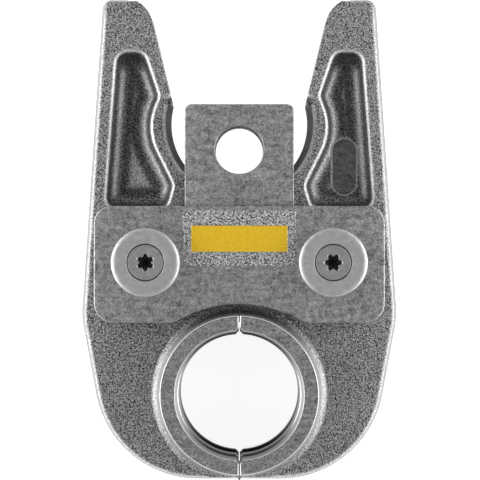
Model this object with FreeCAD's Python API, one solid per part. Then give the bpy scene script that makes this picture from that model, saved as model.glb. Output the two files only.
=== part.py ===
import FreeCAD, Part
import math
import os

Vector = FreeCAD.Vector

# Press jaw for radial fittings, lying on its back. Millimetres.
# x runs across, y from the mouth to the arm tips, z through the thickness.
# The origin is the centre of the locking bore, at mid-thickness.

# Places along the centreline
bore_to_pivots = 32.8
pivots_to_mouth = 38.4
pivot_spacing = 54.4

# Thicknesses, measured from the mid-plane. The end discs stand level with the ring,
# so the jaw lies flat on both.
jaw_half = 9.5
side_clearance = 0.15
neck_outer = 15.0
bar_outer = 16.15
ring_half = 19.0
disc_height = 2.85
disc_outer = bar_outer + disc_height

# Forging
draft_deg = 7.0
rim_radius = 1.2
seam_gap = 0.3

# Outline of one jaw at the parting line, x from the centreline, y from the pivots
tip_y = 77.4
tip_outer_x = 40.2
tip_inner_x = 27.0
tip_outer_radius = 2.8
tip_inner_radius = 9.0
cam_foot_x = 15.6
cam_foot_y = 30.1
cam_foot_radius = 8.0
shoulder_x = 6.5
shoulder_y = 9.5
shoulder_radius = 2.5
seam_top_y = 4.0
heel_x = 46.5
heel_y = -16.2
heel_radius = 25.0
cheek_x = 37.6
cheek_radius = 30.6
roller_relief_radius = 20.0
roller_relief_y = 40.5

# Hollow of the arm, its rim on the face of the jaw, corners from the tip down
hollow_top_y = 61.6
hollow_top_outer_x = 36.8
hollow_top_inner_x = 28.0
hollow_bulge_x = 23.9
hollow_bulge_y = 48.4
hollow_waist_x = 27.3
hollow_waist_y = 39.0
hollow_waist_radius = 16.0
hollow_knee_x = 18.4
hollow_knee_y = 22.6
hollow_bottom_y = 15.6
hollow_bottom_inner_x = 20.2
hollow_bottom_outer_x = 39.6
hollow_corner_radius = 3.4
hollow_depth = 4.6
hollow_wall_deg = 22.0
hollow_floor_radius = 2.8
hollow_floor_flat = 0.1
hollow_rim_radius = 1.2
field_x = 30.8
field_y = 28.0
field_length = 16.0
field_width = 6.8
field_depth = 0.5
field_flat = 0.4

# Mouth: a ring on both faces of the jaws and the pressing contour inside it
ring_face_radius = 23.0
ring_edge_radius = 0.6
ring_root_radius = 2.0
ring_to_bottom = 0.2
press_radius = 17.45
press_outer_z = 11.3
press_inner_z = 8.0
bead_radius = 18.3
bead_half = 7.0
lead_radius = 17.9
lead_inner_z = 12.0
lead_outer_z = 17.6
mouth_entry_radius = 19.1
seam_notch = 1.3

# Pivot pins, end discs and countersunk screws
pin_radius = 7.0
pin_running_clearance = 0.05
pin_chamfer = 0.5
disc_radius = 10.0
disc_edge_radius = 0.9
screw_radius = 3.0
screw_head_radius = 5.4
screw_length = 14.0
screw_gap = 0.05
head_gap = 0.1
screw_sink = 0.15
screw_head_land = 0.15
screw_tip_chamfer = 0.6
screw_head_edge = 0.05
thread_hole_extra = 2.0
socket_outer_radius = 2.75
socket_inner_radius = 1.98
socket_depth = 2.0
socket_lobes = 6
socket_lobe_share = 0.17
socket_lobe_rise = 0.28
left_socket_turn_deg = 30.0
right_socket_turn_deg = 0.0

# Side plates: a bar over both pivots and a neck with the locking bore
bar_half_length = 42.2
bar_top_y = 16.4
bar_bottom_y = -17.5
bar_top_radius = 5.0
bar_bottom_radius = 5.7
neck_half_width = 15.85
neck_top_y = 46.0
neck_top_radius = 2.0
arch_radius = 36.0
arch_top_y = -12.2
arch_blend_radius = 7.0
locking_bore_radius = 7.1
bore_chamfer = 0.5
plate_chamfer = 0.35

# Return spring round a post between the plates
spring_y = 13.0
spring_mean_radius = 4.0
wire_radius = 0.8
spring_turns = 4.0
spring_pitch = 1.8
leg_tip_x = 12.5
leg_tip_y = 10.5
leg_slot_clearance = 0.35
opening_deg = 20.0
post_radius = 3.0
post_seat_depth = 2.0
post_gap = 0.05

draft = math.tan(math.radians(draft_deg))
pivot_x = pivot_spacing / 2
pivot_y = -bore_to_pivots
mouth_y = -pivots_to_mouth
plate_inner = jaw_half + side_clearance
ring_parting_radius = ring_face_radius + ring_half * draft
jaw_bottom_y = mouth_y - ring_parting_radius - ring_to_bottom
beyond = 5.0
close = 0.001


def unit(p, q):
    length = math.hypot(q[0] - p[0], q[1] - p[1])
    return ((q[0] - p[0]) / length, (q[1] - p[1]) / length)


def meeting(p, d, q, e):
    # Where the line through p along d crosses the line through q along e
    cross = d[0] * e[1] - d[1] * e[0]
    t = ((q[0] - p[0]) * e[1] - (q[1] - p[1]) * e[0]) / cross
    return (p[0] + t * d[0], p[1] + t * d[1])


def corner_arc(before, corner, after, z):
    # Start, middle and end of the arc that rounds a corner
    x, y, radius = corner
    u = unit(corner, before)
    v = unit(corner, after)
    half = math.acos(u[0] * v[0] + u[1] * v[1]) / 2
    reach = radius / math.tan(half)
    bisector = unit((0, 0), (u[0] + v[0], u[1] + v[1]))
    depth = radius / math.sin(half) - radius
    start = Vector(x + u[0] * reach, y + u[1] * reach, z)
    middle = Vector(x + bisector[0] * depth, y + bisector[1] * depth, z)
    end = Vector(x + v[0] * reach, y + v[1] * reach, z)
    return start, middle, end


def rounded_edges(corners, z, closed=True):
    # Lines between the corners and an arc at each corner that has a radius
    stops = []
    count = len(corners)
    for i, corner in enumerate(corners):
        at_end = not closed and i in (0, count - 1)
        if corner[2] == 0 or at_end:
            point = Vector(corner[0], corner[1], z)
            stops.append((point, None, point))
        else:
            stops.append(corner_arc(corners[i - 1], corner, corners[(i + 1) % count], z))
    edges = []
    for i, (start, middle, end) in enumerate(stops):
        if middle is not None:
            edges.append(Part.Arc(start, middle, end).toShape())
        if closed or i < count - 1:
            following = stops[(i + 1) % count][0]
            edges.append(Part.LineSegment(end, following).toShape())
    return edges


def rounded_wire(corners, z):
    return Part.Wire(rounded_edges(corners, z))


def inset(corners, distances, smallest_radius):
    # Corners counted counter-clockwise, each side moved inwards by its own distance.
    # Convex corners lose radius and hollow ones gain it, as a drafted wall has them.
    count = len(corners)
    moved = []
    for i, (x, y, radius) in enumerate(corners):
        before = corners[i - 1]
        after = corners[(i + 1) % count]
        d = unit(before, (x, y))
        e = unit((x, y), after)
        a = distances[i - 1]
        b = distances[i]
        p = (x - d[1] * a, y + d[0] * a)
        q = (x - e[1] * b, y + e[0] * b)
        place = meeting(p, d, q, e)
        convex = d[0] * e[1] - d[1] * e[0] > 0
        if radius == 0:
            new_radius = 0
        elif convex:
            new_radius = max(radius - max(a, b), smallest_radius)
        else:
            new_radius = radius + max(a, b)
        moved.append((place[0], place[1], new_radius))
    return moved


def tapered(low_corners, low_z, high_corners, high_z):
    low = rounded_wire(low_corners, low_z)
    high = rounded_wire(high_corners, high_z)
    return Part.makeLoft([low, high], True, True)


def both_faces(shape):
    # The shape and its mirror image through the mid-plane
    other = shape.mirror(Vector(0, 0, 0), Vector(0, 0, 1))
    return shape, other


def cylinder(radius, low, high, x, y):
    return Part.makeCylinder(radius, high - low, Vector(x, y, low))


def turned(profile, x, y):
    # A closed profile of (radius, z) points turned about the axis at x, y
    points = [Vector(x + r, y, z) for r, z in profile]
    face = Part.Face(Part.makePolygon(points + points[:1]))
    return face.revolve(Vector(x, y, 0), Vector(0, 0, 1), 360)


def edges_at_height(shape, z):
    found = []
    for edge in shape.Edges:
        if all(abs(v.Z - z) < close for v in edge.Vertexes):
            found.append(edge)
    return found


def jaw_outline():
    # Right-hand jaw, counter-clockwise from the top of the seam
    seam_x = seam_gap / 2
    corners = [
        (seam_x, seam_top_y, 0),
        (seam_x, jaw_bottom_y, 0),
        (cheek_x, jaw_bottom_y, cheek_radius),
        (heel_x, heel_y, heel_radius),
        (tip_outer_x, tip_y, tip_outer_radius),
        (tip_inner_x, tip_y, tip_inner_radius),
        (cam_foot_x, cam_foot_y, cam_foot_radius),
        (shoulder_x, shoulder_y, shoulder_radius),
    ]
    return corners


def drafted_body():
    # The seam and the cam side are machined square to the faces, the outer sides have draft
    outline = jaw_outline()
    seam = [0]
    outer_sides = [jaw_half * draft] * 4
    cam_side = [0] * 3
    face = inset(outline, seam + outer_sides + cam_side, rim_radius)
    upper, lower = both_faces(tapered(outline, 0, face, jaw_half))
    body = upper.fuse(lower)
    rim = edges_at_height(body, jaw_half) + edges_at_height(body, -jaw_half)
    seam_x = seam_gap / 2
    rim = [e for e in rim if e.BoundBox.XMax > seam_x + close]
    return body.makeFillet(rim_radius, rim)


def ring_half_profile():
    # Outer side of the ring above the face of the jaw, from the root to the top
    lean = math.radians(draft_deg)
    root_r = ring_parting_radius - jaw_half * draft
    reach = ring_root_radius * math.tan((math.pi / 2 - lean) / 2)
    side = (math.sin(lean), math.cos(lean))
    arc_end = (root_r - side[0] * reach, jaw_half + side[1] * reach)
    arc_start = (root_r + reach, jaw_half)
    centre = (root_r + reach, jaw_half + ring_root_radius)
    middle_angle = math.pi + (math.pi / 2 - lean) / 2 + lean
    middle = (
        centre[0] + ring_root_radius * math.cos(middle_angle),
        centre[1] + ring_root_radius * math.sin(middle_angle),
    )
    return arc_start, middle, arc_end


def mouth_ring():
    arc_start, middle, arc_end = ring_half_profile()
    inside = press_radius - beyond

    def at(r, z):
        return Vector(r, mouth_y, z)

    edge = ring_edge_radius
    top = [
        Part.LineSegment(at(inside, 0), at(arc_start[0], 0)),
        Part.LineSegment(at(arc_start[0], 0), at(*arc_start)),
        Part.Arc(at(*arc_start), at(*middle), at(*arc_end)),
        Part.LineSegment(at(*arc_end), at(ring_face_radius + edge * draft, ring_half - edge)),
        Part.LineSegment(
            at(ring_face_radius + edge * draft, ring_half - edge),
            at(ring_face_radius - edge, ring_half),
        ),
        Part.LineSegment(at(ring_face_radius - edge, ring_half), at(inside, ring_half)),
        Part.LineSegment(at(inside, ring_half), at(inside, 0)),
    ]
    face = Part.Face(Part.Wire([e.toShape() for e in top]))
    upper, lower = both_faces(face.revolve(Vector(0, mouth_y, 0), Vector(0, 0, 1), 360))
    return upper.fuse(lower).common(jaw_side_of_seam())


def jaw_side_of_seam():
    # Space on the right of the seam and above the drafted bottom of the jaws
    seam_x = seam_gap / 2
    high = ring_half + beyond
    points = [
        Vector(seam_x, jaw_bottom_y, 0),
        Vector(seam_x, jaw_bottom_y + high * draft, high),
        Vector(seam_x, pivot_x, high),
        Vector(seam_x, pivot_x, -high),
        Vector(seam_x, jaw_bottom_y + high * draft, -high),
    ]
    face = Part.Face(Part.makePolygon(points + points[:1]))
    return face.extrude(Vector(heel_x, 0, 0))


def press_contour():
    half = [
        (bead_radius, bead_half),
        (press_radius, press_inner_z),
        (press_radius, press_outer_z),
        (lead_radius, lead_inner_z),
        (lead_radius, lead_outer_z),
        (mouth_entry_radius, ring_half),
        (mouth_entry_radius, ring_half + beyond),
    ]
    outside = [(r, -z) for r, z in reversed(half)] + half
    axis = [(0, half[-1][1]), (0, -half[-1][1])]
    return turned(outside + axis, 0, mouth_y)


def seam_notches():
    # A small bevel where the seam opens into the mouth, above and below it
    height = 2 * (ring_half + beyond)
    cuts = []
    for way in (1, -1):
        y = mouth_y + way * press_radius
        notch = [
            Vector(0, y + way * 2 * seam_notch, 0),
            Vector(seam_notch, y, 0),
            Vector(0, y - way * 2 * seam_notch, 0),
        ]
        face = Part.Face(Part.makePolygon(notch + notch[:1]))
        solid = face.extrude(Vector(0, 0, height))
        solid.translate(Vector(0, 0, -height / 2))
        cuts.append(solid)
    return cuts


def arm_hollow():
    rim = [
        (hollow_top_outer_x, hollow_top_y, hollow_corner_radius),
        (hollow_top_inner_x, hollow_top_y, hollow_corner_radius),
        (hollow_bulge_x, hollow_bulge_y, hollow_corner_radius),
        (hollow_waist_x, hollow_waist_y, hollow_waist_radius),
        (hollow_knee_x, hollow_knee_y, hollow_corner_radius),
        (hollow_bottom_inner_x, hollow_bottom_y, hollow_corner_radius),
        (hollow_bottom_outer_x, hollow_bottom_y, hollow_corner_radius),
    ]
    slope = math.tan(math.radians(hollow_wall_deg))
    above = hollow_rim_radius
    top = inset(rim, [-above * slope] * len(rim), hollow_corner_radius)
    floor = inset(rim, [hollow_depth * slope] * len(rim), hollow_floor_radius + hollow_floor_flat)
    floor_z = jaw_half - hollow_depth
    cutter = tapered(floor, floor_z, top, jaw_half + above)
    return cutter.makeFillet(hollow_floor_radius, edges_at_height(cutter, floor_z))


def blank_field():
    # Milled field with round ends, left without any marking
    radius = field_width / 2
    reach = field_length / 2
    floor_z = jaw_half - hollow_depth - field_depth
    corner = radius - field_flat / 2
    corners = [
        (field_x - radius, field_y - reach, corner),
        (field_x + radius, field_y - reach, corner),
        (field_x + radius, field_y + reach, corner),
        (field_x - radius, field_y + reach, corner),
    ]
    face = Part.Face(rounded_wire(corners, floor_z))
    return face.extrude(Vector(0, 0, hollow_depth))


def roller_relief():
    # Arc of the cam side that clears the locking pin and the tool's rollers
    through = jaw_half + beyond
    return cylinder(roller_relief_radius, -through, through, 0, roller_relief_y)


def leg_directions():
    # Angles of the spring's leg about its tip, seen from the jaw, shut and open
    dx = leg_tip_x
    dy = spring_y - leg_tip_y
    distance = math.hypot(dx, dy)
    tangent = math.asin(spring_mean_radius / distance)
    shut = math.atan2(dy, dx) + tangent
    opening = math.radians(opening_deg)
    tip = turned_tip(opening)
    turned_angle = math.atan2(spring_y - tip[1], tip[0]) + tangent + opening
    return shut, turned_angle


def turned_tip(angle):
    # The leg's tip when the jaw has opened by this angle, x from the centreline
    x = pivot_x - leg_tip_x
    y = leg_tip_y
    along = x * math.cos(angle) + y * math.sin(angle)
    up = -x * math.sin(angle) + y * math.cos(angle)
    return (pivot_x - along, up)


def leg_slot(z):
    # Fan-shaped slot for the spring's leg, round about its tip, open to the middle
    shut, opened = leg_directions()
    radius = wire_radius + leg_slot_clearance
    half_fan = (opened - shut) / 2
    middle = (opened + shut) / 2
    back = radius / math.sin(half_fan)
    reach = leg_tip_x + beyond
    apex = (leg_tip_x + back * math.cos(middle), leg_tip_y - back * math.sin(middle), radius)
    corners = [apex]
    for angle in (shut, opened):
        x = apex[0] - reach * math.cos(angle)
        y = apex[1] + reach * math.sin(angle)
        corners.append((x, y, 0))
    face = Part.Face(rounded_wire(corners, z - radius))
    return face.extrude(Vector(0, 0, 2 * radius))


def spring_leg_height():
    return spring_turns * spring_pitch / 2


def right_jaw_forging(leg_z):
    jaw = drafted_body().fuse(mouth_ring())
    jaw = jaw.removeSplitter()
    cuts = [press_contour()] + seam_notches() + [roller_relief()]
    through = jaw_half + beyond
    cuts.append(cylinder(pin_radius + pin_running_clearance, -through, through, pivot_x, 0))
    jaw = jaw.cut(cuts)
    jaw = jaw.cut(leg_slot(leg_z))
    jaw = jaw.cut(list(both_faces(arm_hollow())))
    return soften_hollow_rims(jaw)


def soften_hollow_rims(jaw):
    # The edges on the two faces that lie inside the arm's outline
    rims = []
    for z in (jaw_half, -jaw_half):
        for edge in edges_at_height(jaw, z):
            box = edge.BoundBox
            inside_x = box.XMin > hollow_knee_x - close and box.XMax < hollow_bottom_outer_x + close
            inside_y = box.YMin > hollow_bottom_y - close and box.YMax < hollow_top_y + close
            if inside_x and inside_y and not touches_relief(edge):
                rims.append(edge)
    return jaw.makeFillet(hollow_rim_radius, rims)


def touches_relief(edge):
    middle = edge.valueAt((edge.FirstParameter + edge.LastParameter) / 2)
    from_centre = math.hypot(middle.x, middle.y - roller_relief_y)
    return abs(from_centre - roller_relief_radius) < 10 * close


def make_jaws():
    leg_z = spring_leg_height()
    right = right_jaw_forging(-leg_z)
    fields = both_faces(blank_field())
    right_with_field = right.cut(fields[0])
    left = right_jaw_forging(leg_z).mirror(Vector(0, 0, 0), Vector(1, 0, 0))
    return {"jaw_right": right_with_field, "jaw_left": left}


def plate_bottom_edges(z):
    # The arch and the two roundings that lead into it, from left to right
    centre_y = arch_top_y - arch_radius
    blend_y = bar_bottom_y + arch_blend_radius
    between = arch_radius + arch_blend_radius
    blend_x = math.sqrt(between ** 2 - (blend_y - centre_y) ** 2)
    share = arch_radius / between
    foot = (blend_x * share, centre_y + (blend_y - centre_y) * share)
    turn = math.atan2(blend_x, blend_y - centre_y) / 2
    knee = (
        blend_x - arch_blend_radius * math.sin(turn),
        blend_y - arch_blend_radius * math.cos(turn),
    )
    edges = []
    for side in (-1, 1):
        start = Vector(side * blend_x, bar_bottom_y, z)
        middle = Vector(side * knee[0], knee[1], z)
        end = Vector(side * foot[0], foot[1], z)
        edges.append(Part.Arc(start, middle, end).toShape())
    crown = Part.Arc(
        Vector(-foot[0], foot[1], z), Vector(0, arch_top_y, z), Vector(foot[0], foot[1], z)
    )
    edges.append(crown.toShape())
    return edges, blend_x


def plate_face(z, with_neck):
    arch, blend_x = plate_bottom_edges(z)
    right = [
        (blend_x, bar_bottom_y, 0),
        (bar_half_length, bar_bottom_y, bar_bottom_radius),
        (bar_half_length, bar_top_y, bar_top_radius),
    ]
    if with_neck:
        right.append((neck_half_width, bar_top_y, 0))
        right.append((neck_half_width, neck_top_y, neck_top_radius))
    left = [(-x, y, r) for x, y, r in reversed(right)]
    edges = rounded_edges(right + left, z, closed=False)
    return Part.Face(Part.Wire(Part.sortEdges(edges + arch)[0]))


def make_front_plate():
    neck_layer = plate_face(plate_inner, True).extrude(Vector(0, 0, neck_outer - plate_inner))
    bar_layer = plate_face(neck_outer, False).extrude(Vector(0, 0, bar_outer - neck_outer))
    plate = neck_layer.fuse(bar_layer).removeSplitter()
    step = [e for e in edges_at_height(plate, neck_outer) if e.BoundBox.YMax > bar_top_y + close]
    plate = plate.makeChamfer(plate_chamfer, edges_at_height(plate, bar_outer) + step)
    bore_y = bore_to_pivots
    pin_hole = pin_radius + pin_running_clearance
    bevel = bore_chamfer + beyond
    cuts = [
        cylinder(locking_bore_radius, plate_inner - beyond, neck_outer + beyond, 0, bore_y),
        Part.makeCone(
            locking_bore_radius, locking_bore_radius + bevel, bevel,
            Vector(0, bore_y, neck_outer - bore_chamfer),
        ),
        cylinder(post_radius + post_gap, plate_inner - beyond, plate_inner + post_seat_depth, 0, spring_y),
    ]
    for side in (-1, 1):
        cuts.append(
            cylinder(pin_hole, plate_inner - beyond, bar_outer + beyond, side * pivot_x, 0)
        )
    return plate.cut(cuts)


def make_pin(side):
    profile = [
        (0, -bar_outer),
        (pin_radius - pin_chamfer, -bar_outer),
        (pin_radius, -bar_outer + pin_chamfer),
        (pin_radius, bar_outer - pin_chamfer),
        (pin_radius - pin_chamfer, bar_outer),
        (0, bar_outer),
    ]
    x = side * pivot_x
    pin = turned(profile, x, 0)
    hole_bottom = disc_outer - screw_length - thread_hole_extra
    for hole in both_faces(cylinder(screw_radius + screw_gap, hole_bottom, bar_outer + beyond, x, 0)):
        pin = pin.cut(hole)
    return pin


def make_disc(side):
    x = side * pivot_x
    disc = cylinder(disc_radius, bar_outer, disc_outer, x, 0)
    disc = disc.makeFillet(disc_edge_radius, edges_at_height(disc, disc_outer))
    shoulder_z = disc_outer - screw_sink - screw_head_land
    apex_z = shoulder_z - screw_head_radius - head_gap
    mouth = disc_outer - apex_z
    cone = Part.makeCone(0, mouth, mouth, Vector(x, 0, apex_z))
    through = cylinder(screw_radius + 2 * screw_gap, bar_outer - beyond, disc_outer + beyond, x, 0)
    return disc.cut([cone, through])


def star_socket(x, turn_deg):
    # Six round lobes joined by arcs that swell inwards
    z = disc_outer - screw_sink - socket_depth
    step = 2 * math.pi / socket_lobes
    lobe_half = step * socket_lobe_share
    flank_radius = socket_outer_radius - socket_lobe_rise

    def at(radius, angle):
        return Vector(x + radius * math.cos(angle), radius * math.sin(angle), z)

    edges = []
    for i in range(socket_lobes):
        angle = math.radians(turn_deg) + i * step
        a = at(flank_radius, angle - lobe_half)
        b = at(flank_radius, angle + lobe_half)
        c = at(flank_radius, angle + step - lobe_half)
        edges.append(Part.Arc(a, at(socket_outer_radius, angle), b).toShape())
        edges.append(Part.Arc(b, at(socket_inner_radius, angle + step / 2), c).toShape())
    return Part.Face(Part.Wire(edges)).extrude(Vector(0, 0, socket_depth + beyond))


def make_screw(side, turn_deg):
    x = side * pivot_x
    top = disc_outer - screw_sink
    shoulder_z = top - screw_head_land
    cone_depth = screw_head_radius - screw_radius
    tip = disc_outer - screw_length
    profile = [
        (0, tip),
        (screw_radius - screw_tip_chamfer, tip),
        (screw_radius, tip + screw_tip_chamfer),
        (screw_radius, shoulder_z - cone_depth),
        (screw_head_radius, shoulder_z),
        (screw_head_radius, top - screw_head_edge),
        (screw_head_radius - screw_head_edge, top),
        (0, top),
    ]
    return turned(profile, x, 0).cut(star_socket(x, turn_deg))


def make_spring():
    # One wire: right leg low down, coil rising round the post, left leg at the top.
    # Both legs leave the coil over its top, so opening the jaws winds it up.
    top_z = spring_leg_height()
    distance = math.hypot(leg_tip_x, spring_y - leg_tip_y)
    fall = math.atan2(spring_y - leg_tip_y, leg_tip_x)
    leave = math.acos(spring_mean_radius / distance)
    right_angle = leave - fall
    sweep = spring_turns * 2 * math.pi + math.pi - 2 * right_angle
    pitch = 2 * top_z * 2 * math.pi / sweep
    helix = Part.makeHelix(pitch, 2 * top_z, spring_mean_radius)
    helix.rotate(Vector(0, 0, 0), Vector(0, 0, 1), math.degrees(right_angle))
    helix.translate(Vector(0, spring_y, -top_z))
    low_end, high_end = [v.Point for v in helix.Vertexes]
    right_tip = Vector(leg_tip_x, leg_tip_y, -top_z)
    left_tip = Vector(-leg_tip_x, leg_tip_y, top_z)
    right_leg = Part.LineSegment(right_tip, low_end).toShape()
    left_leg = Part.LineSegment(high_end, left_tip).toShape()
    path = Part.Wire([right_leg] + list(helix.Edges) + [left_leg])
    section = Part.Wire(Part.makeCircle(wire_radius, right_tip, low_end.sub(right_tip)))
    return path.makePipeShell([section], True, True)


def make_post():
    reach = plate_inner + post_seat_depth
    return cylinder(post_radius, -reach, reach, 0, spring_y)


def mirrored_back(shape):
    return shape.mirror(Vector(0, 0, 0), Vector(0, 0, 1))


def make_nodes():
    nodes = make_jaws()
    nodes["front_plate"] = make_front_plate()
    nodes["rear_plate"] = mirrored_back(nodes["front_plate"])
    nodes["return_spring"] = make_spring()
    nodes["spring_post"] = make_post()
    sides = (("left", -1, left_socket_turn_deg), ("right", 1, right_socket_turn_deg))
    for name, side, turn_deg in sides:
        nodes["pivot_pin_" + name] = make_pin(side)
        nodes["front_disc_" + name] = make_disc(side)
        nodes["rear_disc_" + name] = mirrored_back(nodes["front_disc_" + name])
        nodes["front_screw_" + name] = make_screw(side, turn_deg)
        nodes["rear_screw_" + name] = mirrored_back(nodes["front_screw_" + name])
    return nodes


def write_nodes():
    os.makedirs("parts", exist_ok=True)
    for name, shape in make_nodes().items():
        placed = shape.copy()
        placed.translate(Vector(0, pivot_y, 0))
        placed.exportStep("parts/" + name + ".step")
        box = placed.BoundBox
        print(name, placed.isValid(), len(placed.Solids), round(placed.Volume), len(placed.Faces),
              [round(v, 2) for v in (box.XMin, box.YMin, box.ZMin, box.XMax, box.YMax, box.ZMax)])


write_nodes()
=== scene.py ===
import bmesh
import bpy
import math
import numpy as np
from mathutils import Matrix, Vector
from mathutils.geometry import delaunay_2d_cdt


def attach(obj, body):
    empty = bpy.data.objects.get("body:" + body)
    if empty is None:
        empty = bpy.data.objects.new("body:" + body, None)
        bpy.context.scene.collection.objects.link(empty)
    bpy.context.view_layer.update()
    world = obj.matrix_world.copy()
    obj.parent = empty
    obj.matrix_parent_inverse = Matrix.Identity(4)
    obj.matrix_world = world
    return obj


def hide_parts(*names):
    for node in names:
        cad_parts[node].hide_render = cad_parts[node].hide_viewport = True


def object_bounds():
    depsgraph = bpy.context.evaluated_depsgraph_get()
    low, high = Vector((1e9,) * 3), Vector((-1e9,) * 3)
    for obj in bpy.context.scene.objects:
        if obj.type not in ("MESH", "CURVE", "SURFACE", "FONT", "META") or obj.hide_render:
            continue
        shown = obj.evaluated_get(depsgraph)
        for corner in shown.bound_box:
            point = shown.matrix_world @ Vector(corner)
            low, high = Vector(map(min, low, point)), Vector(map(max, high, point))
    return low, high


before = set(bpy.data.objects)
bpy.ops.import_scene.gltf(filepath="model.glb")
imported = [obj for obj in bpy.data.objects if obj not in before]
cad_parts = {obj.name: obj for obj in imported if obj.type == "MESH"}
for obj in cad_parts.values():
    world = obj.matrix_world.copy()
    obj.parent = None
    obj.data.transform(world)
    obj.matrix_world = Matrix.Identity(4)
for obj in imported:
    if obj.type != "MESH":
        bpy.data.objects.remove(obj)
cad_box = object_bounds()

MM = 0.001
SHARP_ANGLE = math.radians(28.0)

# Layout, in millimetres from the centre of the locking bore
PIVOT_X = 27.2
PIVOT_Y = -32.8
MOUTH_Y = -71.2

# The mouth's centre, from the pivots
RING_Y = MOUTH_Y - PIVOT_Y

# One jaw at its parting line: x from the centreline, y from the pivots, and a corner's radius
SEAM_X = 0.15
BODY_SEAM_X = 0.008
SEAM_NOTCH = 0.95
JAW_HALF = 9.5
DRAFT = math.tan(math.radians(7.0))
TIP_Y = 77.4
TIP_OUTER_X = 40.2
TIP_OUTER_RADIUS = 2.8
TIP_INNER_X = 27.0
TIP_INNER_RADIUS = 9.0
CAM_FOOT = (15.6, 30.1, 8.0)
SHOULDER = (6.5, 9.5, 2.5)
SEAM_TOP_Y = 4.0
HEEL = (46.5, -16.2, 25.0)
CHEEK_X = 37.6
CHEEK_RADIUS = 30.6
RELIEF_RADIUS = 20.0
RELIEF_Y = 40.5
RELIEF_LEAN = math.radians(11.0)
OUTER_RIM = 1.3
INNER_RIM = 0.35
RELIEF_RIM = 0.6
SEAM_EDGE = 0.1

# The hollow of the arm, its rim on the face
HOLLOW = (
    (35.9, 61.6, 3.4), (27.8, 61.6, 3.4), (23.4, 48.6, 3.0), (27.3, 39.0, 16.0),
    (19.2, 22.6, 3.4), (21.2, 15.6, 3.4), (39.3, 15.6, 3.4),
)
HOLLOW_DEPTH = 4.6
HOLLOW_WALL = math.tan(math.radians(20.0))
HOLLOW_RIM = 1.5
HOLLOW_FILLET = 0.9
BOWL_RISE = 2.4
BOWL_WIDTH = 4.8

# Rubbing and painted light of the forging at each distance inside the hollow's rim, as
# rub_scale_and_painted_light tells: real rubbing on the rim and dark oxide in the hollow, with painted shade
# on the steep wall and in the trough and a painted highlight band on the fillet
HOLLOW_WEAR_AND_PAINTED_LIGHT = (
    (-0.75, 0.0), (-0.4, 1.0), (0.05, 1.0), (0.35, -0.3), (1.0, -0.9), (1.4, 0.2), (1.9, 0.9),
    (2.7, 0.7), (3.6, -0.3), (4.4, -0.75), (5.6, -0.7), (6.6, 0.4), (7.6, 0.6),
)
# Along the arm, the span of the hollow between its ends, and the painted shade laid on it beyond that span
HOLLOW_BETWEEN_SHADED_ENDS = (17.0, 58.5)
ENDS_PAINTED_SHADE = -0.7

# The long field in the right arm's hollow
FIELD_CENTRE = (30.8, 28.0)
FIELD_HALF_LENGTH = 8.0
FIELD_RADIUS = 3.4
FIELD_DEPTH = 0.4
FIELD_LIP = 0.35
FIELD_LIP_WIDTH = 0.35

# The mouth's ring
RING_HALF = 19.0
RING_FACE_RADIUS = 23.0
RING_ROOT_RADIUS = 2.0
RING_CHAMFER = 0.16
SEAM_CHAMFER = 0.28
RING_ENTRY = 18.75
RING_ENTRY_EDGE = 0.12
HIDDEN_RADIUS = 21.0
BODY_BOTTOM = RING_Y - (RING_FACE_RADIUS + RING_HALF * DRAFT) - 0.2
PIN_HOLE_RADIUS = 7.05

# The pressing contour under the ring's entry, as radius and height
PRESS_CONTOUR = (
    (18.05, 12.9), (17.8, 12.7), (17.75, 12.0), (17.5, 11.6), (17.45, 11.3), (17.45, 8.0), (18.3, 7.0),
)

# Order of a jaw's finishes
FORGING, RING_FACE, RING_EDGE_PAINTED_HIGHLIGHT, STAMPED_FIELD, BORE = range(5)

# Side plates, outline from the pivots, heights from the middle plane
PLATE_INNER = 9.65
NECK_OUTER = 15.0
BAR_OUTER = 16.15
BAR_HALF_WIDTH = 42.2
BAR_TOP = 16.4
BAR_BOTTOM = -17.5
BAR_TOP_RADIUS = 5.0
BAR_BOTTOM_RADIUS = 5.7
NECK_HALF_WIDTH = 15.85
NECK_TOP = 46.0
ARCH_RADIUS = 36.0
ARCH_APEX = -12.2
ARCH_BLEND = 7.0
PLATE_EDGE = 0.45
LOCKING_BORE_RADIUS = 7.05

# On the front plate: half width, bottom and top of the blasted field and of the yellow bar
BLASTED_FIELD = (16.3, -33.9, -17.6)
YELLOW_BAR = (14.0, -29.75, -22.05)

# Discs and screws
DISC_RADIUS = 10.0
DISC_TOP = 19.0
DISC_SHOULDER = (1.7, 1.0)
DISC_HOLE = 5.45
HEAD_RADIUS = 5.12
HEAD_TOP = 18.86
STAR_MEAN = 2.42
STAR_SWING = 0.46
STAR_DEPTH = 2.6
STEM_RADIUS = 3.0
STEM_END = 5.0

# Colours of the tumbled plates
PLATE_LIGHT = (0.76, 0.76, 0.77)
PLATE_DARK = (0.12, 0.12, 0.124)

# Studio: strengths of the floor and the sky, lamps in watts, and the camera's place in metres
GROUND_GLOW = 0.88
OVERHEAD_SKY = 0.31
LAMP_POWER = {-1: 1.6, 1: 1.4}
LENS_MM = 219.9
EYE = (0.0002, -0.02628, 0.866)


# Mesh helpers


def mesh_piece(name, points, faces):
    """Makes one object from points in millimetres and faces as index rows, its doubles merged."""
    mesh = bpy.data.meshes.new(name)
    mesh.from_pydata((np.asarray(points) * MM).tolist(), [], [list(f) for f in faces])
    piece = bpy.data.objects.new(name, mesh)
    bpy.context.scene.collection.objects.link(piece)
    tidy_mesh(mesh)
    return piece


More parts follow.
